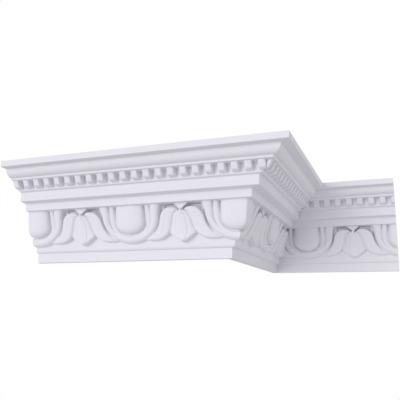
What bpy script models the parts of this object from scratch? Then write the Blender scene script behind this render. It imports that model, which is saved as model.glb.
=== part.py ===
# A carved cornice that breaks forward from its wall: three lengths of one moulding, mitred together.
# Metres, +Z up, fronts towards -Y and +X. The origin is under the middle of the whole cornice's box,
# the underside is Z = 0 and the ceiling is Z = HEIGHT.
import math

import bmesh
import bpy
from mathutils import Vector

MM = 0.001
WELD = 1e-6

# Lengths of the walls that carry the cornice
FRONT_WALL = 335 * MM
BREAK_DEPTH = 298.5 * MM
REAR_WALL = 237 * MM
MITRE_GAP = 0.3 * MM

# Cross-section: heights run up from the underside, projections run out from the wall
HEIGHT = 150 * MM
PROJECTION = 119 * MM
TOP_FASCIA = 9.5 * MM
TOP_SET_BACK = 13.5 * MM
TOP_SOFFIT_RISE = 0.5 * MM
OVOLO_RISE = 12 * MM
OVOLO_REACH = 12.5 * MM
UPPER_FILLET = 3.2 * MM
UPPER_FILLET_LEAN = 1 * MM
BEAD_ROW = 11.8 * MM
BEAD_SET_BACK = 4 * MM
BEAD_BED_DEPTH = 13 * MM
LOWER_FILLET = 2 * MM
LOWER_FILLET_LEAN = 1 * MM
LOWER_FILLET_REACH = 5.5 * MM
CORONA_COVE = 1.2 * MM
CORONA = 14.5 * MM
CORONA_PROJECTION = 66 * MM
CORONA_SOFFIT_RISE = 1.5 * MM
BAND = 11.8 * MM
BAND_SET_BACK = 15 * MM
BAND_LEAN = 0.5 * MM
BOTTOM_FASCIA = 15.8 * MM
BOTTOM_PROJECTION = 9.5 * MM
STEP_REACH = 3.5 * MM
STEP_RISE = 0.6 * MM
STEP_CHAMFER = 2.5 * MM
GROUND_SLOPE = 0.16
CEILING_BED = 52 * MM
WALL_BED = 62 * MM

# Rhythm of the ornament: one egg and one dart to every nine beads
BEAD_PITCH = 19.3 * MM
BEADS_TO_AN_EGG = 9
FRONT_EGG_AT = 23.5 * MM
RETURN_EGG_AT = -151 * MM
REAR_EGG_AT = 73.7 * MM
FRONT_BEAD_AT = -3.2 * MM
RETURN_BEAD_AT = -9.7 * MM
REAR_BEAD_AT = 140 * MM

# Bead: a tongue with a rounded foot
BEAD_HALF_WIDTH = 6 * MM
BEAD_FOOT_HALF_WIDTH = 5.6 * MM
BEAD_LENGTH = 11.5 * MM
BEAD_ROUND = 2.8 * MM
BEAD_LEAN = 6 * MM

# Egg: its half width, where its straight sides end, its lowest point, how far it swells, how square
# that swelling is, and how its edge leans out from bottom to top
EGG_HALF_WIDTH = 24 * MM
EGG_SPRING = 57 * MM
EGG_BOTTOM = 39.5 * MM
EGG_SWELL = 10.5 * MM
EGG_SQUARENESS = 2.6
EGG_EDGE = 26 * MM
EGG_EDGE_LEAN = 8 * MM
EGG_EDGE_CURVE = 0.6

# Cup round the egg: a gap, a narrow ridge, a groove and a broad strap
CUP_GAP = 2 * MM
CUP_GAP_DEPTH = 1.5 * MM
RIDGE_WIDTH = 8.5 * MM
RIDGE_ROUND = 1.6 * MM
RIDGE_DROP = 2.5 * MM
RIDGE_BOTTOM = 36.2 * MM
GROOVE_WIDTH = 2.5 * MM
GROOVE_DEPTH = 6 * MM
GROOVE_BOTTOM = 35.4 * MM
STRAP_WIDTH = 15.5 * MM
STRAP_CROWN = 1 * MM
STRAP_SPRING = 67.5 * MM
STRAP_BOTTOM = 25.7 * MM
STRAP_TAPER = 3.5 * MM
EDGE_ROUND = 1.2 * MM
FOOT_SPREAD = 0.8 * MM

# Face that strap, leaves and bud share: how far it projects at its bottom and its top
FACE_BOTTOM = 25 * MM
FACE_TOP = 44 * MM
FACE_CURVE = 1.3

# Leaves and bud of the dart
LEAF_MEETS_STRAP = math.radians(60)
LOBE_BOTTOM = 29.5 * MM
LOBE_FROM_BUD = 47 * MM
LOBE_LIFT = 1.5 * MM
LOBE_LIFT_REACH = 16 * MM
LOBE_CURVE = 2.2
CUSP_FROM_BUD = 21.5 * MM
CUSP_HEIGHT = 39.3 * MM
BUD_TIP = 25.2 * MM
BUD_TIP_CURVE = 1.3
BUD_CURVE = 0.72
STEM_HALF_WIDTH = 3 * MM
LEAF_SET_BACK = 1 * MM
LEAF_CROWN = 1.8 * MM
VALLEY_DEPTH = 4.5 * MM
BUD_CROWN = 2.5 * MM
STRAP_SIDE_TOP = 12 * MM
STRAP_SIDE_FOOT = 2.5 * MM
LEAF_GAP_FROM = 50 * MM
LEAF_GAP_FULL = 72 * MM
LEAF_ARCH = 0.06
LEAF_ARCH_FADES = (0.2, 0.7)
LEAF_CROSSING = 0.6

# Dark recess over each leaf, and the block that the stem hangs from
RECESS_PROJECTION = 27 * MM
RECESS_LIP = 0.03
BLOCK_HALF_WIDTH = 12 * MM
BLOCK_POINT_HALF_WIDTH = 4 * MM
BLOCK_PROJECTION = 40 * MM

# How finely the curves are divided
SIDE_ROWS = (0.0, 0.45, 0.75, 1.0)
RECESS_ROWS = 2
ARC_ROWS_BESIDE_LEAF = 6
ARC_ROWS_UNDER_EGG = 3
EGG_RINGS = (0.0, 0.4, 0.7, 0.9, 1.0)
LEAF_STEPS = (0.0, 0.12, 0.3, 0.6, 0.86, 1.0)
BUD_STEPS = (0.25, 0.6, 1.0)
BEAD_ROWS = (0.0, 0.74, 0.86, 0.94, 0.975, 1.0)
BEAD_ACROSS = (0.0, 0.82, 1.0)
BEAD_ACROSS_FRONT = (1.0, 0.9, 0.0)
OVOLO_STEPS = 5
SMOOTH_ANGLE = math.radians(32)

# Painted plaster
PLASTER_COLOUR = (0.80, 0.78, 0.83, 1.0)
PLASTER_ROUGHNESS = 0.75

# Levels and projections that follow from the sizes above
REPEAT = BEAD_PITCH * BEADS_TO_AN_EGG
HALF_REPEAT = REPEAT / 2
TOP_SOFFIT = HEIGHT - TOP_FASCIA
OVOLO_TOP = TOP_SOFFIT - TOP_SOFFIT_RISE
OVOLO_TOP_OUT = PROJECTION - TOP_SET_BACK
OVOLO_FOOT = OVOLO_TOP - OVOLO_RISE
OVOLO_FOOT_OUT = OVOLO_TOP_OUT - OVOLO_REACH
BEAD_TOP = OVOLO_FOOT - UPPER_FILLET
FILLET_OUT = OVOLO_FOOT_OUT - UPPER_FILLET_LEAN
BEAD_TOP_OUT = FILLET_OUT - BEAD_SET_BACK
BEAD_FOOT = BEAD_TOP - BEAD_ROW
LOWER_FILLET_FOOT = BEAD_FOOT - LOWER_FILLET
LOWER_FILLET_OUT = CORONA_PROJECTION + LOWER_FILLET_REACH
BEAD_FOOT_OUT = LOWER_FILLET_OUT + LOWER_FILLET_LEAN
CORONA_TOP = LOWER_FILLET_FOOT - CORONA_COVE
CORONA_FOOT = CORONA_TOP - CORONA
BAND_TOP = CORONA_FOOT - CORONA_SOFFIT_RISE
BAND_OUT = CORONA_PROJECTION - BAND_SET_BACK
EGG_TOP = BAND_TOP - BAND
STEP_TOP = BOTTOM_FASCIA + STEP_RISE
STEP_OUT = BOTTOM_PROJECTION + STEP_REACH
GROUND_FOOT = STEP_TOP + STEP_CHAMFER
GROUND_OUT = STEP_OUT + STEP_CHAMFER
GROOVE_AT = EGG_HALF_WIDTH + CUP_GAP + RIDGE_WIDTH + GROOVE_WIDTH / 2
STRAP_AT = GROOVE_AT + GROOVE_WIDTH / 2
STRAP_EDGE_AT = STRAP_AT + STRAP_WIDTH


def blend(first, last, share):
    return first + (last - first) * share


def ease(value, low, high):
    """0 up to low, 1 from high, and a smooth rise between."""
    share = min(1.0, max(0.0, (value - low) / (high - low)))
    return share * share * (3 - 2 * share)


def ground(z):
    """Projection of the sloping ground that the ornament stands on."""
    return GROUND_OUT + (z - GROUND_FOOT) * GROUND_SLOPE


def face(z):
    """Projection of the curved face that strap, leaves and bud share."""
    rise = max(0.0, (z - STRAP_BOTTOM) / (EGG_TOP - STRAP_BOTTOM))
    return blend(FACE_BOTTOM, FACE_TOP, rise**FACE_CURVE)


def row_angles():
    """Each row runs across the egg and its cup: down the straight sides, then round the arcs."""
    beside_leaf = [LEAF_MEETS_STRAP * i / ARC_ROWS_BESIDE_LEAF for i in range(1, ARC_ROWS_BESIDE_LEAF + 1)]
    steps = range(1, ARC_ROWS_UNDER_EGG + 1)
    under_egg = [blend(LEAF_MEETS_STRAP, math.pi / 2, i / ARC_ROWS_UNDER_EGG) for i in steps]
    return [(down, 0.0) for down in SIDE_ROWS] + [(1.0, angle) for angle in beside_leaf + under_egg]


ROWS = row_angles()
LEAF_ROW = len(SIDE_ROWS) - 1 + ARC_ROWS_BESIDE_LEAF


def ring_point(row, half_width, bottom, taper=0.0):
    """Where a curve round the egg crosses a row, as distance from the egg's centre line and height.
    The straight sides end at the egg's spring, and higher up the wider the curve is."""
    down, angle = ROWS[row]
    out_from_egg = max(0.0, half_width - EGG_HALF_WIDTH) / (STRAP_EDGE_AT - EGG_HALF_WIDTH)
    spring = blend(EGG_SPRING, STRAP_SPRING, out_from_egg)
    across = (half_width - taper * down) * math.cos(angle)
    return across, blend(EGG_TOP, spring, down) - (spring - bottom) * math.sin(angle)


def egg_edge(z):
    rise = max(0.0, (z - EGG_BOTTOM) / (EGG_TOP - EGG_BOTTOM))
    return EGG_EDGE + EGG_EDGE_LEAN * rise**EGG_EDGE_CURVE


def egg_points(row):
    points = []
    for share in EGG_RINGS:
        u, z = ring_point(row, EGG_HALF_WIDTH * share, blend(EGG_SPRING, EGG_BOTTOM, share))
        swell = EGG_SWELL * (1 - share**EGG_SQUARENESS) ** (1 / EGG_SQUARENESS)
        points.append((u, egg_edge(z) + swell, z))
    return points


def cup_points(row):
    """Gap, ridge, groove and strap on one row, from the egg outwards. The groove fades under the egg."""
    u, z = ring_point(row, EGG_HALF_WIDTH + CUP_GAP / 2, (EGG_BOTTOM + RIDGE_BOTTOM) / 2)
    points = [(u, egg_edge(z) - CUP_GAP_DEPTH, z)]
    ridge = EGG_HALF_WIDTH + CUP_GAP
    strap = (STRAP_AT + STRAP_EDGE_AT) / 2, (GROOVE_BOTTOM + STRAP_BOTTOM) / 2
    eased = -STRAP_CROWN / 2
    for half_width, bottom, taper, rise, rise_at_foot in (
        (ridge + RIDGE_ROUND, RIDGE_BOTTOM + RIDGE_ROUND / 2, 0, -RIDGE_DROP, 0),
        (ridge + RIDGE_WIDTH - RIDGE_ROUND, RIDGE_BOTTOM, 0, -RIDGE_DROP, 0),
        (GROOVE_AT, GROOVE_BOTTOM, 0, -GROOVE_DEPTH, 0),
        (STRAP_AT + EDGE_ROUND / 2, GROOVE_BOTTOM - EDGE_ROUND / 2, 0, eased, eased),
        (*strap, STRAP_TAPER / 2, STRAP_CROWN, STRAP_CROWN),
        (STRAP_EDGE_AT - EDGE_ROUND, STRAP_BOTTOM + EDGE_ROUND, STRAP_TAPER, eased, eased),
    ):
        u, z = ring_point(row, half_width, bottom, taper)
        points.append((u, face(z) + blend(rise_at_foot, rise, ease(z, GROOVE_BOTTOM, EGG_SPRING)), z))
    return points


def strap_foot(row):
    """Foot of the strap's outer side: against the leaf down to where they meet, then on the ground."""
    edge = STRAP_EDGE_AT + FOOT_SPREAD
    u, z = ring_point(row, edge, STRAP_BOTTOM - FOOT_SPREAD, STRAP_TAPER)
    if row > LEAF_ROW:
        return u, ground(z), z
    if row < RECESS_ROWS:
        return u, RECESS_PROJECTION, z
    depth = blend(STRAP_SIDE_FOOT, STRAP_SIDE_TOP, ease(z, LOBE_BOTTOM, STRAP_SPRING))
    return u, face(z) - depth, z


def lower_outline(u):
    """Height of the leaf's and the bud's lower edge, at a distance from the egg's centre line."""
    from_bud = HALF_REPEAT - u
    if from_bud < CUSP_FROM_BUD:
        return blend(BUD_TIP, CUSP_HEIGHT, (from_bud / CUSP_FROM_BUD) ** BUD_TIP_CURVE)
    if from_bud < LOBE_FROM_BUD:
        rise = (LOBE_FROM_BUD - from_bud) / (LOBE_FROM_BUD - CUSP_FROM_BUD)
        return blend(LOBE_BOTTOM, CUSP_HEIGHT, rise**LOBE_CURVE)
    return LOBE_BOTTOM + LOBE_LIFT * ((from_bud - LOBE_FROM_BUD) / LOBE_LIFT_REACH) ** 2


def bud_half_width(row):
    """Half width of the bud, or of the block over it, which is where the leaf or its recess begins."""
    if row < RECESS_ROWS:
        return (BLOCK_HALF_WIDTH, BLOCK_POINT_HALF_WIDTH)[row]
    top = way_down(RECESS_ROWS, 1.0)
    down = (way_down(row, 1.0) - top) / (1 - top)
    return blend(STEM_HALF_WIDTH, CUSP_FROM_BUD, down**BUD_CURVE)


def way_down(row, share):
    """How far a row lies from the top to the lower outline, at a share of the way from strap to bud."""
    if row in (0, LEAF_ROW):
        return row / LEAF_ROW
    if row < RECESS_ROWS:
        return way_down(RECESS_ROWS, share) - RECESS_LIP
    u, _, z = strap_foot(row)
    at_strap = (EGG_TOP - z) / (EGG_TOP - lower_outline(u))
    down = row / LEAF_ROW
    at_bud = down * blend(LEAF_CROSSING, 1.0, down)
    arch = LEAF_ARCH * math.sin(math.pi * share) * (1 - ease(down, *LEAF_ARCH_FADES))
    return blend(at_strap, at_bud, share) - arch


def dart_points(row):
    """A leaf and half a bud on one row, from the strap to the bud's centre line."""
    start = strap_foot(row)
    points = [start]
    valley = HALF_REPEAT - bud_half_width(row)
    places = [(share, blend(start[0], valley, share), True) for share in LEAF_STEPS[1:]]
    places += [(share, blend(valley, HALF_REPEAT, share), False) for share in BUD_STEPS]
    for share, u, in_leaf in places:
        from_strap = (u - start[0]) / (HALF_REPEAT - start[0])
        z = blend(EGG_TOP, lower_outline(u), way_down(row, from_strap))
        if row < RECESS_ROWS:
            projection = RECESS_PROJECTION if in_leaf else BLOCK_PROJECTION
        elif share == LEAF_STEPS[1]:
            projection = blend(face(z) - LEAF_SET_BACK, start[1], ease(z, LEAF_GAP_FROM, LEAF_GAP_FULL))
        elif in_leaf:
            in_valley = VALLEY_DEPTH if share == 1.0 else 0.0
            projection = face(z) - LEAF_SET_BACK + LEAF_CROWN * math.sin(math.pi * share) - in_valley
        else:
            projection = face(z) - LEAF_SET_BACK + BUD_CROWN * math.sin(math.pi / 2 * share)
        if row == LEAF_ROW:
            projection = min(projection, face(z)) - EDGE_ROUND
        points.append((u, projection, z))
    return points


def bead_points(down):
    """Half a bead and half the gap beside it, at a share of the way down the bead row."""
    z = BEAD_TOP - BEAD_ROW * down
    bed = blend(BEAD_TOP_OUT - BEAD_BED_DEPTH, BEAD_FOOT_OUT, down)
    round_share = min(1.0, max(0.0, 1 - (BEAD_LENGTH - BEAD_ROW * down) / BEAD_ROUND))
    fullness = math.sqrt(1 - round_share * round_share)
    half_width = blend(BEAD_FOOT_HALF_WIDTH, BEAD_HALF_WIDTH, fullness)
    front = blend(bed, BEAD_TOP_OUT - BEAD_LEAN * down, fullness)
    points = []
    for across, forward in zip(BEAD_ACROSS, BEAD_ACROSS_FRONT):
        points.append((half_width * across, blend(bed, front, forward), z))
    return points + [(BEAD_PITCH / 2, bed, z)]


class Length:
    """The mesh of one length, with x along its wall, the front towards -y and z up."""

    def __init__(self):
        self.bm = bmesh.new()
        self.made = {}

    def vertex(self, s, p, z):
        key = (round(s / WELD), round(p / WELD), round(z / WELD))
        if key not in self.made:
            self.made[key] = self.bm.verts.new((s, -p, z))
        return self.made[key]

    def polygon(self, points):
        corners = list(dict.fromkeys(self.vertex(*point) for point in points))
        if len(corners) > 2:
            self.bm.faces.new(corners)

    def grid(self, rows):
        for upper, lower in zip(rows, rows[1:]):
            for i in range(len(upper) - 1):
                self.polygon([upper[i], lower[i], lower[i + 1], upper[i + 1]])

    def strips(self, lines):
        """Long faces between neighbouring lines, each line running along the wall."""
        for lower, upper in zip(lines, lines[1:]):
            self.polygon(lower + upper[::-1])
        many_sided = [face for face in self.bm.faces if len(face.verts) > 4]
        bmesh.ops.triangulate(self.bm, faces=many_sided)

    def cut(self, point, normal):
        """Cuts the length off at a plane. Every open end is closed by finish."""
        everything = self.bm.verts[:] + self.bm.edges[:] + self.bm.faces[:]
        bmesh.ops.bisect_plane(
            self.bm, geom=everything, dist=WELD, plane_co=point, plane_no=normal, clear_outer=True
        )

    def finish(self):
        bmesh.ops.remove_doubles(self.bm, verts=self.bm.verts[:], dist=WELD)
        ends = [edge for edge in self.bm.edges if edge.is_boundary]
        bmesh.ops.holes_fill(self.bm, edges=ends, sides=0)
        self.fill_pockets()
        bmesh.ops.recalc_face_normals(self.bm, faces=self.bm.faces[:])

    def fill_pockets(self):
        """A mitre that runs between two beads can close off a pocket. It is filled with plaster, so
        only the outer skin stays."""
        skins, left = [], set(self.bm.faces)
        while left:
            skin, reached = set(), [left.pop()]
            while reached:
                face = reached.pop()
                skin.add(face)
                beside = {other for edge in face.edges for other in edge.link_faces} & left
                left -= beside
                reached += beside
            skins.append(skin)
        skins.sort(key=len)
        pockets = [face for skin in skins[:-1] for face in skin]
        bmesh.ops.delete(self.bm, geom=pockets, context="FACES")


def placed(points, centre, side):
    return [(centre + side * u, p, z) for u, p, z in points]


def half_egg_and_dart(length, centre, side):
    """Half an egg, its cup, a leaf and half a bud. Returns the top edge and the edge on the ground."""
    cup = []
    for row in range(len(ROWS)):
        cup.append(placed(egg_points(row) + cup_points(row) + [strap_foot(row)], centre, side))
    length.grid(cup)
    dart = [placed(dart_points(row), centre, side) for row in range(LEAF_ROW + 1)]
    length.grid(dart)
    foot = [(s, ground(z - FOOT_SPREAD), z - FOOT_SPREAD) for s, _, z in dart[-1]]
    length.grid([dart[-1], foot])
    under = [cup[row][-1] for row in range(len(ROWS) - 1, LEAF_ROW, -1)]
    length.polygon([dart[-1][0], under[-1], foot[0]])
    return cup[0] + dart[0][1:], under + foot


def half_bead(length, centre, side):
    """Half a bead and half the gap beside it. Returns the top edge and the bottom edge."""
    rows = [placed(bead_points(down), centre, side) for down in BEAD_ROWS]
    length.grid(rows)
    return rows[0], rows[-1]


def ornament(length, make_half, phase, pitch, low, high):
    """Repeats an ornament from low to high and returns its upper and lower edges as lines."""
    upper_line, lower_line = [], []
    centre = phase + math.floor((low - phase) / pitch) * pitch
    while centre < high + pitch:
        for side in (-1, 1):
            upper, lower = make_half(length, centre, side)
            upper_line += upper[::side]
            lower_line += lower[::side]
        centre += pitch
    return list(dict.fromkeys(upper_line)), list(dict.fromkeys(lower_line))


def ovolo():
    points = []
    for i in range(OVOLO_STEPS + 1):
        angle = math.pi / 2 * i / OVOLO_STEPS
        out = OVOLO_FOOT_OUT + OVOLO_REACH * math.sin(angle)
        points.append((out, OVOLO_TOP - OVOLO_RISE * math.cos(angle)))
    return points


def make_length(name, eggs_at, beads_at, start, end, start_turn, end_turn, material):
    """One length from start to end along its wall. A turn of 1 mitres that end round an outside
    corner, -1 round an inside corner, and 0 cuts it square."""
    length = Length()
    low, high = start - 2 * PROJECTION, end + 2 * PROJECTION

    def straight(*points):
        return [[(low, p, z), (high, p, z)] for p, z in points]

    eggs_top, eggs_foot = ornament(length, half_egg_and_dart, eggs_at, REPEAT, low, high)
    beads_top, beads_foot = ornament(length, half_bead, beads_at, BEAD_PITCH, low, high)
    bottom = straight(
        (0, WALL_BED), (0, 0), (BOTTOM_PROJECTION, 0), (BOTTOM_PROJECTION, BOTTOM_FASCIA),
        (STEP_OUT, STEP_TOP), (GROUND_OUT, GROUND_FOOT),
    )
    length.strips(bottom + [eggs_foot])
    middle = straight(
        (BAND_OUT, EGG_TOP), (BAND_OUT + BAND_LEAN, BAND_TOP), (CORONA_PROJECTION, CORONA_FOOT),
        (CORONA_PROJECTION, CORONA_TOP), (LOWER_FILLET_OUT, LOWER_FILLET_FOOT),
    )
    length.strips([eggs_top] + middle + [beads_foot])
    top = straight(
        (FILLET_OUT, BEAD_TOP), *ovolo(), (PROJECTION, TOP_SOFFIT), (PROJECTION, HEIGHT),
        (PROJECTION - CEILING_BED, HEIGHT), (0, WALL_BED),
    )
    length.strips([beads_top] + top)

    for at, along, turn in ((start, -1, start_turn), (end, 1, end_turn)):
        normal = Vector((along, turn, 0)).normalized()
        length.cut(Vector((at, 0, 0)) - normal * (MITRE_GAP / 2 * abs(turn)), normal)
    length.finish()
    mesh = bpy.data.meshes.new(name)
    length.bm.to_mesh(mesh)
    length.bm.free()
    mesh.shade_smooth()
    mesh.set_sharp_from_angle(angle=SMOOTH_ANGLE)
    mesh.materials.append(material)
    made = bpy.data.objects.new(name, mesh)
    bpy.context.scene.collection.objects.link(made)
    return made


def plaster():
    material = bpy.data.materials.new("painted_plaster")
    material.use_nodes = True
    shader = material.node_tree.nodes["Principled BSDF"]
    shader.inputs["Base Color"].default_value = PLASTER_COLOUR
    shader.inputs["Roughness"].default_value = PLASTER_ROUGHNESS
    shader.inputs["Metallic"].default_value = 0.0
    return material


def main():
    for old in list(bpy.data.objects):
        bpy.data.objects.remove(old)
    material = plaster()
    front = make_length("front_length", FRONT_EGG_AT, FRONT_BEAD_AT, -FRONT_WALL, 0, 0, 1, material)
    front.location = (0, -BREAK_DEPTH, 0)
    side = make_length("return_length", RETURN_EGG_AT, RETURN_BEAD_AT, -BREAK_DEPTH, 0, 1, -1, material)
    side.rotation_euler = (0, 0, math.pi / 2)
    rear = make_length("rear_length", REAR_EGG_AT, REAR_BEAD_AT, 0, REAR_WALL, -1, 0, material)

    inside_corner = bpy.data.objects.new("inside_corner", None)
    bpy.context.scene.collection.objects.link(inside_corner)
    inside_corner.location = ((FRONT_WALL - REAR_WALL) / 2, (BREAK_DEPTH + PROJECTION) / 2, 0)
    for made in (front, side, rear):
        made.parent = inside_corner


main()
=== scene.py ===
import math
import bmesh
import bpy
import numpy as np
from mathutils import Matrix, Vector


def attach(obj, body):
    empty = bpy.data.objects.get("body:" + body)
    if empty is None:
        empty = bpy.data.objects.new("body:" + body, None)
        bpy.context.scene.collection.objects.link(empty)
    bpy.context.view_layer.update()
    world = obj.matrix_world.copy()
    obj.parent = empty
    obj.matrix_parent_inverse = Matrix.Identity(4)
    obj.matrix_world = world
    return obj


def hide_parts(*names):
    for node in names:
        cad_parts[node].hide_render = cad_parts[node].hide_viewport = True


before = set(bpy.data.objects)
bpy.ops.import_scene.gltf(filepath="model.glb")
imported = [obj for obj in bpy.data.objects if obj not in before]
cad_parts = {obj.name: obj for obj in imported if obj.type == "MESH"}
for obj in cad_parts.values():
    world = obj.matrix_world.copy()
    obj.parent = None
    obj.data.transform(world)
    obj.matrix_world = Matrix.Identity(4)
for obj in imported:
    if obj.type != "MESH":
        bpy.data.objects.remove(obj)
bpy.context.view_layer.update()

mm = 0.001

# Sizes are in millimetres. Each length runs along s, stands out from its wall by p, and z is height.
# The lengths are set out from the inside corner, where the return's wall meets the rear wall.
walls = {"front": 335, "return": 298.5, "rear": 237, "mitreGap": 0.3, "projection": 119}
cornerAt = Vector(((walls["front"] - walls["rear"]) / 2, (walls["return"] + walls["projection"]) / 2, 0)) * mm

# A turn of 1 mitres an end round an outside corner, -1 round an inside corner, 0 cuts it square
lengths = {
    "frontLength": {"node": "front_length", "span": (-walls["front"], 0), "turns": (0, 1),
                    "eggAt": 23.5, "beadAt": -3.2, "quarterTurns": 0, "shift": (0, -walls["return"], 0)},
    "returnLength": {"node": "return_length", "span": (-walls["return"], 0), "turns": (1, -1),
                     "eggAt": -151, "beadAt": -9.7, "quarterTurns": 1, "shift": (0, 0, 0)},
    "rearLength": {"node": "rear_length", "span": (0, walls["rear"]), "turns": (-1, 0),
                   "eggAt": 73.7, "beadAt": 140, "quarterTurns": 0, "shift": (0, 0, 0)},
}

# How finely the surface is meshed, and how its cut ends are closed
mesh = {"column": 0.85, "eggRow": 0.8833, "beadRow": 0.6, "lastEggRows": (0.6, 0.35), "overrun": 2,
        "weld": 1e-6, "sharpAngle": 55}
tiny = 1e-6


def mix(first, last, share):
    return first + (last - first) * share


def ease(value, low, high):
    share = np.clip((value - low) / (high - low), 0, 1)
    return share * share * (3 - 2 * share)


def ramp(value, low, high):
    return np.clip((value - low) / (high - low), 0, 1)


# The plain slope that the carving stands on, and the carving's leaning face
slope = {"out": 15.5, "foot": 18.9, "top": 82, "lean": 0.16,
         "faceFoot": 25, "faceTop": 44, "faceFrom": 25.7, "faceCurve": 1.3}


def ground(z):
    return slope["out"] + (z - slope["foot"]) * slope["lean"]


def face(z):
    return mix(slope["faceFoot"], slope["faceTop"], ramp(z, slope["faceFrom"], slope["top"]) ** slope["faceCurve"])


egg = {"half": 24, "spring": 57, "bottom": 39.5, "swell": 10.5, "squareness": 2.6,
       "edge": 26, "edgeLean": 8, "edgeCurve": 0.6, "footWidth": 0.8}
cup = {"widths": (0, 24, 25.1, 26.3, 32.9, 35.75, 37.6, 44.75, 51.3, 53.3, 75),
       "bottoms": (57, 39.5, 38.4, 37.3, 36.1, 35.4, 34.8, 30.6, 26.9, 24.9, 3.2),
       "tapers": (0, 0, 0, 0, 0, 0, 0.2, 1.75, 3.5, 3.5, 3.5),
       "springAt": 52.5, "halvings": 22, "gapEnds": (25.6, 26.8), "gapDepth": 1.5, "openEnds": (36.3, 57),
       "grooveAt": 35.75, "grooveHalf": 1.6, "grooveDepth": 3, "grooveEnds": (68, 82),
       "strapSpring": 67.5, "strapEdge": 52.4, "strapFoot": 53.4}
# How far ridge and strap stand out from the face across their width: at the top, where a groove parts
# them, and below the egg, where they run together
moulding = {"across": (26.6, 28, 29.5, 31.2, 33, 34.6, 35.75, 37, 38.6, 41, 44, 47, 49.5, 51.2, 52.4),
            "parted": (-4.5, -3.3, -2.6, -2.3, -2.6, -3.4, -4, -1.6, -0.3, 0.6, 1, 0.7, -0.2, -1.6, -3.4),
            "whole": (-2, -0.9, -0.4, 0, 0.2, 0.3, 0.4, 0.5, 0.6, 0.8, 1, 0.7, -0.2, -1.6, -3.4)}
dart = {"halfRepeat": 86.85, "setBack": 1, "easeHalf": 0.5, "edgeWall": 0.88, "arrisDepth": 2, "arrisHeight": 3.4,
        "lobeBottom": 29.5, "lobeAt": 47, "lobeLift": 1.5, "lobeReach": 16, "lobeCurve": 2.2,
        "recessOut": 20, "recessEnds": (25, 32), "stemTop": 73.3, "stemHalf": 3,
        "blockHalf": 12, "blockPoint": 3.5, "blockFoot": 74.5, "blockBelow": 2, "blockOut": 40}
leaf = {"crown": 1.8, "valley": 2.2, "valleyWidth": 4, "sideFoot": 2.5, "sideTop": 12,
        "gutterWidths": (2.5, 13), "gutterEnds": (60, 82), "gutterFrom": 0.25,
        "vein": 0.8, "veinHalf": 0.13, "veinFoot": (32, 40), "veinTop": (62, 72),
        "archAt": 72, "archTop": 76, "strapReach": 23, "budReach": 12.5, "strapDrop": 12, "budDrop": 8.5,
        "curl": 2.2, "curlHeight": 3, "topHeight": 1}
bud = {"tip": 25.2, "tipCurve": 1.3, "tipSwell": 3, "cuspHeight": 39.3, "cuspAt": 21.5, "dome": 2.5, "valleyWidth": 2,
       "heights": (39.3, 45, 52, 60, 67, 71, 73.3), "halves": (21.5, 18.5, 16.5, 14.5, 11, 7, 3)}
tongue = {"heights": (25, 29, 42, 60, 70, 74), "halves": (0.5, 6, 9.5, 8, 3, 2), "raise": 0.6, "raiseWidth": 2,
          "crease": 0.7, "creaseWidth": 1.8}


# Which of the nested curves round the egg passes through each point, named by its half width at the top
def cupRing(u, z):
    low, high = np.zeros_like(u), np.full_like(u, cup["widths"][-1])
    for step in range(cup["halvings"]):
        width = (low + high) / 2
        bottom = np.interp(width, cup["widths"], cup["bottoms"])
        taper = np.interp(width, cup["widths"], cup["tapers"])
        spring = mix(egg["spring"], cup["strapSpring"], ramp(width, egg["half"], cup["springAt"]))
        down = np.clip((slope["top"] - z) / (slope["top"] - spring), 0, 1)
        across = np.maximum(width - taper * down, 1e-4)
        below = np.clip((spring - z) / np.maximum(spring - bottom, 1e-4), 0, None)
        inside = (u / across) ** 2 + below ** 2 < 1
        high = np.where(inside, width, high)
        low = np.where(inside, low, width)
    return (low + high) / 2


def lowerOutline(u):
    fromBud = dart["halfRepeat"] - u
    cusp = mix(bud["tip"], bud["cuspHeight"], (np.abs(fromBud) / bud["cuspAt"]) ** bud["tipCurve"])
    rise = ramp(dart["lobeAt"] - fromBud, 0, dart["lobeAt"] - bud["cuspAt"])
    lobe = mix(dart["lobeBottom"], bud["cuspHeight"], rise ** dart["lobeCurve"])
    lift = dart["lobeLift"] * (np.maximum(fromBud - dart["lobeAt"], 0) / dart["lobeReach"]) ** 2
    return np.where(fromBud < bud["cuspAt"], cusp, lobe + lift)


def budHalf(z):
    return np.interp(z, bud["heights"], bud["halves"])


def tongueHalf(z):
    return np.interp(z, tongue["heights"], tongue["halves"])


def leafTop(u):
    onStrapSide = u < leaf["archAt"]
    across = (u - leaf["archAt"]) / np.where(onStrapSide, leaf["strapReach"], leaf["budReach"])
    drop = np.where(onStrapSide, leaf["strapDrop"], leaf["budDrop"])
    return leaf["archTop"] - drop * (1 - np.sqrt(np.clip(1 - across * across, 0, 1)))


def blockHalf(z):
    return mix(dart["blockPoint"], dart["blockHalf"], ramp(z, dart["blockFoot"], slope["top"]))


# Crowned between the strap and the valley beside the bud, with a vein, a curled top and a gutter at the strap
def leafRelief(z, surface, inLeaf, fromStrap, top):
    share = ramp(fromStrap, 0, tiny + fromStrap + np.maximum(inLeaf, 0))
    out = surface + leaf["crown"] * np.sin(math.pi * share)
    out = out - leaf["valley"] * (1 - ease(inLeaf, 0, leaf["valleyWidth"]))
    sideDepth = mix(leaf["sideFoot"], leaf["sideTop"], ease(z, dart["lobeBottom"], cup["strapSpring"]))
    gutterWidth = mix(*leaf["gutterWidths"], ease(z, *leaf["gutterEnds"]))
    inGutter = 1 - ease(fromStrap, leaf["gutterFrom"] * gutterWidth, gutterWidth)
    out = out - (sideDepth - dart["setBack"]) * inGutter
    veinEnds = ease(z, *leaf["veinFoot"]) * (1 - ease(z, *leaf["veinTop"]))
    out = out - leaf["vein"] * (1 - ease(np.abs(share - 0.5), 0, leaf["veinHalf"])) * veinEnds
    return out - leaf["curl"] * ease(z, top - leaf["curlHeight"], top)


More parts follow.
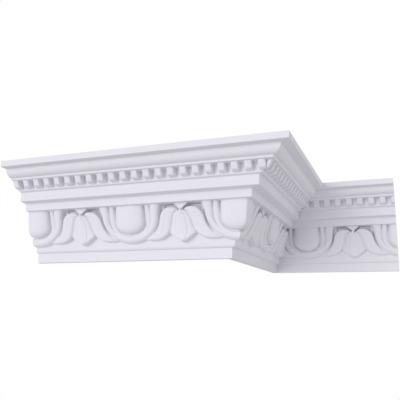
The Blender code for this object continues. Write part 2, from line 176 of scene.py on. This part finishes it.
# Domed, with a raised tongue down its middle
def budRelief(z, surface, inLeaf, fromBud):
    out = surface + bud["dome"] * np.sin(math.pi / 2 * (1 - ramp(fromBud, 0, budHalf(z))))
    out = out - leaf["valley"] * (1 - ease(-inLeaf, 0, bud["valleyWidth"]))
    out = out + bud["tipSwell"] * (1 - ramp(z, bud["tip"], bud["cuspHeight"]))
    inTongue = tongueHalf(z) - fromBud
    out = out + tongue["raise"] * ease(inTongue, 0, tongue["raiseWidth"])
    return out - tongue["crease"] * (1 - ease(np.abs(inTongue), 0, tongue["creaseWidth"]))


def dartRelief(u, z, ring):
    fromBud = dart["halfRepeat"] - u
    inLeaf, fromStrap, top = fromBud - budHalf(z), ring - cup["strapFoot"], leafTop(u)
    surface = face(z) - dart["setBack"]
    carved = np.where(inLeaf > 0, leafRelief(z, surface, inLeaf, fromStrap, top),
                      budRelief(z, surface, inLeaf, fromBud))
    # recess over the leaves, and the block that the stem hangs from
    recess = mix(dart["recessOut"], face(z) - leaf["sideTop"], ease(fromBud, *dart["recessEnds"]))
    inBlock = ramp(blockHalf(z) - fromBud, -dart["easeHalf"], dart["easeHalf"])
    overLeaf = mix(recess, dart["blockOut"], inBlock * (z > dart["blockFoot"] - dart["blockBelow"]))
    inStem = ramp(dart["stemHalf"] + dart["easeHalf"] - fromBud, 0, 2 * dart["easeHalf"])
    aboveLeaf = ramp(z, top, top + leaf["topHeight"])
    carved = mix(carved, overLeaf, aboveLeaf * (1 - inStem * (z < dart["blockFoot"])))
    # lower edge: a rounded arris and a short wall down to the ground
    outline = lowerOutline(u)
    carved = carved - dart["arrisDepth"] * (1 - ramp(z - outline, 0, dart["arrisHeight"])) ** 2
    return mix(ground(z), np.maximum(carved, ground(z)), ramp(z, outline - dart["edgeWall"], outline))


def eggRelief(u, z):
    ring = cupRing(u, z)
    edge = egg["edge"] + egg["edgeLean"] * ramp(z, egg["bottom"], slope["top"]) ** egg["edgeCurve"]
    inside = np.clip(1 - (ring / egg["half"]) ** egg["squareness"], 0, 1)
    swell = edge + egg["swell"] * inside ** (1 / egg["squareness"])
    parted = np.interp(ring, moulding["across"], moulding["parted"])
    whole = np.interp(ring, moulding["across"], moulding["whole"])
    inGroove = np.maximum(0, 1 - np.abs(ring - cup["grooveAt"]) / cup["grooveHalf"])
    groove = inGroove * cup["grooveDepth"] * ease(z, *cup["grooveEnds"])
    moulded = face(z) + mix(whole, parted, ease(z, *cup["openEnds"])) - groove
    gap = np.minimum(edge, moulded) - cup["gapDepth"]
    besideEgg = mix(edge, gap, ramp(ring, egg["half"], egg["half"] + egg["footWidth"]))
    carved = np.where(ring < egg["half"], swell, besideEgg)
    carved = np.where(ring < cup["gapEnds"][0], carved, mix(gap, moulded, ramp(ring, *cup["gapEnds"])))
    return mix(carved, dartRelief(u, z, ring), ramp(ring, cup["strapEdge"], cup["strapFoot"]))


# The lines that the mesh follows: rings round the egg, and the limits within which the dart's lines count
lines = {"rings": (24, 25.1, 26.3, 35.75, 52.4, 53.4), "clearOfStrap": 0.4, "clearOfOutline": 1,
         "tongueEnds": (28, 68), "reach": 0.85, "step": 0.01, "leastSlope": 1e-3}


# Each carved line is given as a value that is zero along it, with a mask for where it counts
def eggLines(u, z):
    ring, outline, top = cupRing(u, z), lowerOutline(u), leafTop(u)
    fromBud = dart["halfRepeat"] - u
    outside = ring > cup["strapFoot"] + lines["clearOfStrap"]
    inDart = outside & (z > outline + lines["clearOfOutline"])
    besideStem = outside & (fromBud > dart["stemHalf"])
    tongueFoot, tongueTop = lines["tongueEnds"]
    found = [(ring - width, np.ones_like(outside)) for width in lines["rings"]]
    found.append((z - outline, outside))
    found.append((z - outline + dart["edgeWall"], outside))
    found.append((fromBud - budHalf(z), inDart & (z < dart["stemTop"])))
    found.append((fromBud - tongueHalf(z), inDart & (z > tongueFoot) & (z < tongueTop)))
    found.append((z - top, besideStem))
    found.append((z - top - leaf["topHeight"], besideStem))
    return found


def snapToLines(u, z, linesAt, fixedRows):
    reach, step = lines["reach"], lines["step"]
    nearest = np.full_like(u, reach)
    moveU, moveZ = np.zeros_like(u), np.zeros_like(u)
    for (value, mask), (nextU, _), (nextZ, _) in zip(linesAt(u, z), linesAt(u + step, z), linesAt(u, z + step)):
        slopeU, slopeZ = (nextU - value) / step, (nextZ - value) / step
        steep = np.maximum(slopeU ** 2 + slopeZ ** 2, lines["leastSlope"])
        away = np.abs(value) / np.sqrt(steep)
        closer = mask & (away < nearest)
        pull = np.minimum(1, (reach - away) / np.maximum(away, tiny)) * (away > 0)
        moveU = np.where(closer, -value * slopeU / steep * pull, moveU)
        moveZ = np.where(closer, -value * slopeZ / steep * pull, moveZ)
        nearest = np.where(closer, away, nearest)
    moveZ[list(fixedRows)] = 0
    return u + np.clip(moveU, -reach, reach), z + np.clip(moveZ, -reach, reach)


def eggBlock(columns, eggAt):
    beforeLast, last = mesh["lastEggRows"]
    rows = np.append(np.arange(slope["foot"], slope["top"] - beforeLast, mesh["eggRow"]),
                     (slope["top"] - last, slope["top"]))
    s, z = np.meshgrid(columns, rows)
    repeat = 2 * dart["halfRepeat"]
    place = np.mod(s - eggAt + dart["halfRepeat"], repeat) - dart["halfRepeat"]
    u, side = np.abs(place), np.sign(place)
    movedU, movedZ = snapToLines(u, z, eggLines, (0, -1))
    movedU = np.clip(movedU, 0, dart["halfRepeat"])
    return s + (movedU - u) * side, eggRelief(movedU, movedZ), movedZ


bead = {"pitch": 19.3, "half": 6, "footHalf": 5.6, "length": 11.5, "round": 2.8, "squareness": 9, "snap": 0.4,
        "bedDepth": 13, "lean": 6, "top": 124.8, "foot": 113, "topOut": 88, "footOut": 72.5}


def beadBlock(columns, beadAt):
    height = bead["top"] - bead["foot"]
    rows = np.linspace(bead["foot"], bead["top"], int(height / mesh["beadRow"]) + 1)
    s, z = np.meshgrid(columns, rows)
    place = np.mod(s - beadAt + bead["pitch"] / 2, bead["pitch"]) - bead["pitch"] / 2
    down = (bead["top"] - z) / height
    bed = mix(bead["topOut"] - bead["bedDepth"], bead["footOut"], down)
    curl = ramp(1 - (bead["length"] - (bead["top"] - z)) / bead["round"], 0, 1)
    full = np.sqrt(1 - curl * curl)
    half = mix(bead["footHalf"], bead["half"], full)
    across = np.abs(place) - half
    pull = np.where(np.abs(across) < bead["snap"], across, 0)
    moved = place - pull * np.sign(place)
    forward = np.sqrt(np.clip(1 - (np.abs(moved) / half) ** bead["squareness"], 0, 1))
    front = mix(bed, bead["topOut"] - bead["lean"] * down, full)
    return s + moved - place, mix(bed, front, forward), z


# Corners of the plain members: how far out, how high, and how far back from the corner its easing starts
arris = 0.8
profile = {"foot": ((0, 63, 0), (0, 62, 0.5), (0, 0, 0.5), (9.5, 0, arris), (9.5, 15.8, 0.4), (13, 16.4, 0.5),
                    (15.5, 18.9, 0)),
           "corona": ((45, 82, 0), (51, 82, 0.5), (51.5, 93.8, 0.4), (66, 95.3, arris), (66, 109.8, arris),
                      (71.5, 111, 0.4), (72.5, 113, 0)),
           "drip": ((88, 124.8, 0), (92, 124.8, 0.4), (93, 128, 0.4), (96, 128, 0)),
           "fascia": ((105.5, 139, 0), (105.5, 140, 0.3), (119, 140.5, arris), (119, 150, arris), (67, 150, 0.5),
                      (0, 62, 0.5), (0, 61, 0)),
           "arcSteps": 3, "support": 1.5}
ovolo = {"footOut": 93, "reach": 12.5, "top": 140, "height": 12, "steps": 12}


# Turns a drawn profile into rows, with each corner eased and a line beside it that keeps the flats flat
def easedRows(corners):
    points = []
    for before, (p, z, radius), after in zip(corners, corners[1:], corners[2:]):
        corner = Vector((p, z))
        back, ahead = Vector(before[:2]) - corner, Vector(after[:2]) - corner
        if radius == 0:
            points.append(tuple(corner))
            continue
        beside = radius + profile["support"]
        start, end = corner + back.normalized() * radius, corner + ahead.normalized() * radius
        if back.length > 2 * beside:
            points.append(tuple(corner + back.normalized() * beside))
        for step in range(profile["arcSteps"] + 1):
            t = step / profile["arcSteps"]
            points.append(tuple(start * (1 - t) ** 2 + corner * 2 * t * (1 - t) + end * t ** 2))
        if ahead.length > 2 * beside:
            points.append(tuple(corner + ahead.normalized() * beside))
    return points


def ovoloRows():
    angles = [math.pi / 2 * step / ovolo["steps"] for step in range(1, ovolo["steps"])]
    return [(ovolo["footOut"] + ovolo["reach"] * math.sin(angle), ovolo["top"] - ovolo["height"] * math.cos(angle))
            for angle in angles]


def straightBlock(columns, points):
    p, z = (np.array(values)[:, None] + np.zeros_like(columns) for values in zip(*points))
    return np.zeros_like(p) + columns, p, z


def sectionBlocks(columns, eggAt, beadAt):
    return [straightBlock(columns, easedRows(profile["foot"])), eggBlock(columns, eggAt),
            straightBlock(columns, easedRows(profile["corona"])), beadBlock(columns, beadAt),
            straightBlock(columns, easedRows(profile["drip"]) + ovoloRows() + easedRows(profile["fascia"])[:-1])]


def makeLength(name, plan, material):
    start, end = plan["span"]
    low = start - (walls["projection"] if plan["turns"][0] == 1 else 0) - mesh["overrun"]
    high = end + (walls["projection"] if plan["turns"][1] == 1 else 0) + mesh["overrun"]
    columns = np.linspace(low, high, int((high - low) / mesh["column"]) + 1)
    blocks = sectionBlocks(columns, plan["eggAt"], plan["beadAt"])
    s, p, z = (np.concatenate([block[i] for block in blocks]) for i in range(3))
    s, p, z = (np.concatenate([part, part[:1]]) for part in (s, p, z))
    rows, across = s.shape
    bm = bmesh.new()
    bmesh.ops.create_grid(bm, x_segments=across - 1, y_segments=rows - 1, size=1)
    for vert in bm.verts:
        i, j = round((vert.co.x + 1) / 2 * (across - 1)), round((vert.co.y + 1) / 2 * (rows - 1))
        vert.co = Vector((s[j, i], -p[j, i], z[j, i])) * mm
    bmesh.ops.remove_doubles(bm, verts=bm.verts[:], dist=mesh["weld"])
    for at, along, turn in ((start, -1, plan["turns"][0]), (end, 1, plan["turns"][1])):
        normal = Vector((along, turn, 0)).normalized()
        planeAt = Vector((at, 0, 0)) * mm - normal * (walls["mitreGap"] / 2 * abs(turn) * mm)
        bmesh.ops.bisect_plane(bm, geom=bm.verts[:] + bm.edges[:] + bm.faces[:], dist=mesh["weld"],
                               plane_co=planeAt, plane_no=normal, clear_outer=True)
    bmesh.ops.remove_doubles(bm, verts=bm.verts[:], dist=mesh["weld"])
    bmesh.ops.holes_fill(bm, edges=[edge for edge in bm.edges if edge.is_boundary], sides=0)
    bmesh.ops.triangulate(bm, faces=bm.faces[:], quad_method="SHORT_EDGE", ngon_method="BEAUTY")
    bmesh.ops.recalc_face_normals(bm, faces=bm.faces[:])
    turned = Matrix.Rotation(math.pi / 2 * plan["quarterTurns"], 4, "Z")
    placed = Matrix.Translation(Vector(plan["shift"]) * mm + cornerAt) @ turned
    bmesh.ops.transform(bm, matrix=placed, verts=bm.verts[:])
    piece = makeObject(name, bm, material)
    piece.data.shade_smooth()
    piece.data.set_sharp_from_angle(angle=math.radians(mesh["sharpAngle"]))
    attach(piece, "root")
    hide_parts(plan["node"])
    print(name, rows, "rows", across, "columns", len(piece.data.polygons), "triangles")


def makeObject(name, bm, material):
    data = bpy.data.meshes.new(name)
    bm.to_mesh(data)
    bm.free()
    made = bpy.data.objects.new(name, data)
    bpy.context.scene.collection.objects.link(made)
    data.materials.append(material)
    return made


plaster = {"Colour": (0.78, 0.768, 0.83, 1), "Shade": (0.70, 0.689, 0.75, 1), "Mottle Scale": 9,
           "Mottle Amount": 0.25, "Grain Scale": 900, "Roughness": 0.72}
finish = {"mottleDetail": 4, "grainDetail": 3, "grainRoughness": 0.12, "grainHeight": 0.00003, "specular": 0.25}
socketKinds = {"Colour": "NodeSocketColor", "Shade": "NodeSocketColor"}


# Matt paint over plaster: a faint mottle in the colour and a fine grain in the surface
def makePlasterGroup():
    group = bpy.data.node_groups.new("paintedPlaster", "ShaderNodeTree")
    for inOut, names in (("INPUT", plaster), ("OUTPUT", ("Colour", "Roughness", "Height"))):
        for name in names:
            group.interface.new_socket(name, in_out=inOut, socket_type=socketKinds.get(name, "NodeSocketFloat"))
    nodes, link = group.nodes, group.links.new
    given, result = nodes.new("NodeGroupInput"), nodes.new("NodeGroupOutput")
    place = nodes.new("ShaderNodeTexCoord")
    mottle, grain = nodes.new("ShaderNodeTexNoise"), nodes.new("ShaderNodeTexNoise")
    for noise, scale, detail in ((mottle, "Mottle Scale", "mottleDetail"), (grain, "Grain Scale", "grainDetail")):
        noise.inputs["Detail"].default_value = finish[detail]
        link(place.outputs["Object"], noise.inputs["Vector"])
        link(given.outputs[scale], noise.inputs["Scale"])
    amount = nodes.new("ShaderNodeMath")
    amount.operation = "MULTIPLY"
    link(mottle.outputs["Fac"], amount.inputs[0])
    link(given.outputs["Mottle Amount"], amount.inputs[1])
    tint = nodes.new("ShaderNodeMix")
    tint.data_type = "RGBA"
    link(amount.outputs[0], tint.inputs["Factor"])
    link(given.outputs["Colour"], tint.inputs["A"])
    link(given.outputs["Shade"], tint.inputs["B"])
    link(tint.outputs["Result"], result.inputs["Colour"])
    sheen = nodes.new("ShaderNodeMath")
    sheen.operation = "MULTIPLY_ADD"
    link(grain.outputs["Fac"], sheen.inputs[0])
    sheen.inputs[1].default_value = finish["grainRoughness"]
    link(given.outputs["Roughness"], sheen.inputs[2])
    link(sheen.outputs[0], result.inputs["Roughness"])
    link(grain.outputs["Fac"], result.inputs["Height"])
    return group


def makePlasterMaterial(group):
    material = bpy.data.materials.new("paintedPlaster")
    material.use_nodes = True
    nodes, link = material.node_tree.nodes, material.node_tree.links.new
    shader = nodes["Principled BSDF"]
    paint = nodes.new("ShaderNodeGroup")
    paint.node_tree = group
    for name, value in plaster.items():
        paint.inputs[name].default_value = value
    bump = nodes.new("ShaderNodeBump")
    bump.inputs["Distance"].default_value = finish["grainHeight"]
    link(paint.outputs["Height"], bump.inputs["Height"])
    link(bump.outputs["Normal"], shader.inputs["Normal"])
    link(paint.outputs["Colour"], shader.inputs["Base Color"])
    link(paint.outputs["Roughness"], shader.inputs["Roughness"])
    shader.inputs["Specular IOR Level"].default_value = finish["specular"]
    return material


view = {"yaw": -20.7013, "pitch": 11.8145, "roll": 0.6532, "place": (0.29361714, -0.85974118, -0.07908314),
        "sensor": 36, "lens": 48.495, "nearest": 0.01}


def makeCamera():
    yaw, pitch, roll = (math.radians(view[name]) for name in ("yaw", "pitch", "roll"))
    forward = Vector((math.sin(yaw) * math.cos(pitch), math.cos(yaw) * math.cos(pitch), math.sin(pitch)))
    right = Vector((math.cos(yaw), -math.sin(yaw), 0))
    up = right.cross(forward)
    across = right * math.cos(roll) + up * math.sin(roll)
    upright = up * math.cos(roll) - right * math.sin(roll)
    data = bpy.data.cameras.new("camera")
    data.sensor_width, data.lens, data.clip_start = view["sensor"], view["lens"], view["nearest"]
    camera = bpy.data.objects.new("camera", data)
    turned = Matrix((across, upright, -forward)).transposed().to_4x4()
    camera.matrix_world = Matrix.Translation(view["place"]) @ turned
    bpy.context.scene.collection.objects.link(camera)
    bpy.context.scene.camera = camera


studio = {"ambient": 0.61, "white": (1, 1, 1, 1), "floorAt": -1, "floorSize": 2.5,
          "floorColour": (0.88, 0.88, 0.88, 1), "floorRoughness": 0.9}
suns = {"key": {"strength": 1.4, "angle": 38, "direction": (-0.36, -1, 0.03)},
        "fill": {"strength": 0.4, "angle": 60, "direction": (1, 0, 0)}}


# The camera sees plain white, and the same world lights the piece more weakly
def makeWorld():
    world = bpy.data.worlds.new("studio")
    world.use_nodes = True
    nodes, link = world.node_tree.nodes, world.node_tree.links.new
    seen, light = nodes["Background"], nodes.new("ShaderNodeBackground")
    seen.inputs["Color"].default_value = light.inputs["Color"].default_value = studio["white"]
    light.inputs["Strength"].default_value = studio["ambient"]
    path, choose = nodes.new("ShaderNodeLightPath"), nodes.new("ShaderNodeMixShader")
    link(path.outputs["Is Camera Ray"], choose.inputs["Fac"])
    link(light.outputs["Background"], choose.inputs[1])
    link(seen.outputs["Background"], choose.inputs[2])
    link(choose.outputs["Shader"], nodes["World Output"].inputs["Surface"])
    bpy.context.scene.world = world
    bpy.context.scene.view_settings.view_transform = "Standard"


def makeSuns():
    for name, sun in suns.items():
        data = bpy.data.lights.new(name, "SUN")
        data.energy, data.angle = sun["strength"], math.radians(sun["angle"])
        light = bpy.data.objects.new(name, data)
        light.rotation_euler = Vector(sun["direction"]).to_track_quat("Z", "Y").to_euler()
        bpy.context.scene.collection.objects.link(light)


def makeFloor():
    paint = bpy.data.materials.new("floorPaint")
    paint.use_nodes = True
    shader = paint.node_tree.nodes["Principled BSDF"]
    shader.inputs["Base Color"].default_value = studio["floorColour"]
    shader.inputs["Roughness"].default_value = studio["floorRoughness"]
    bm = bmesh.new()
    bmesh.ops.create_grid(bm, x_segments=1, y_segments=1, size=studio["floorSize"])
    bmesh.ops.translate(bm, vec=(0, 0, studio["floorAt"]), verts=bm.verts[:])
    floor = makeObject("floor", bm, paint)


makeCamera()
makeWorld()
makeSuns()
makeFloor()
print("camera, lights and floor set")
plasterMaterial = makePlasterMaterial(makePlasterGroup())
for pieceName, piecePlan in lengths.items():
    makeLength(pieceName, piecePlan, plasterMaterial)
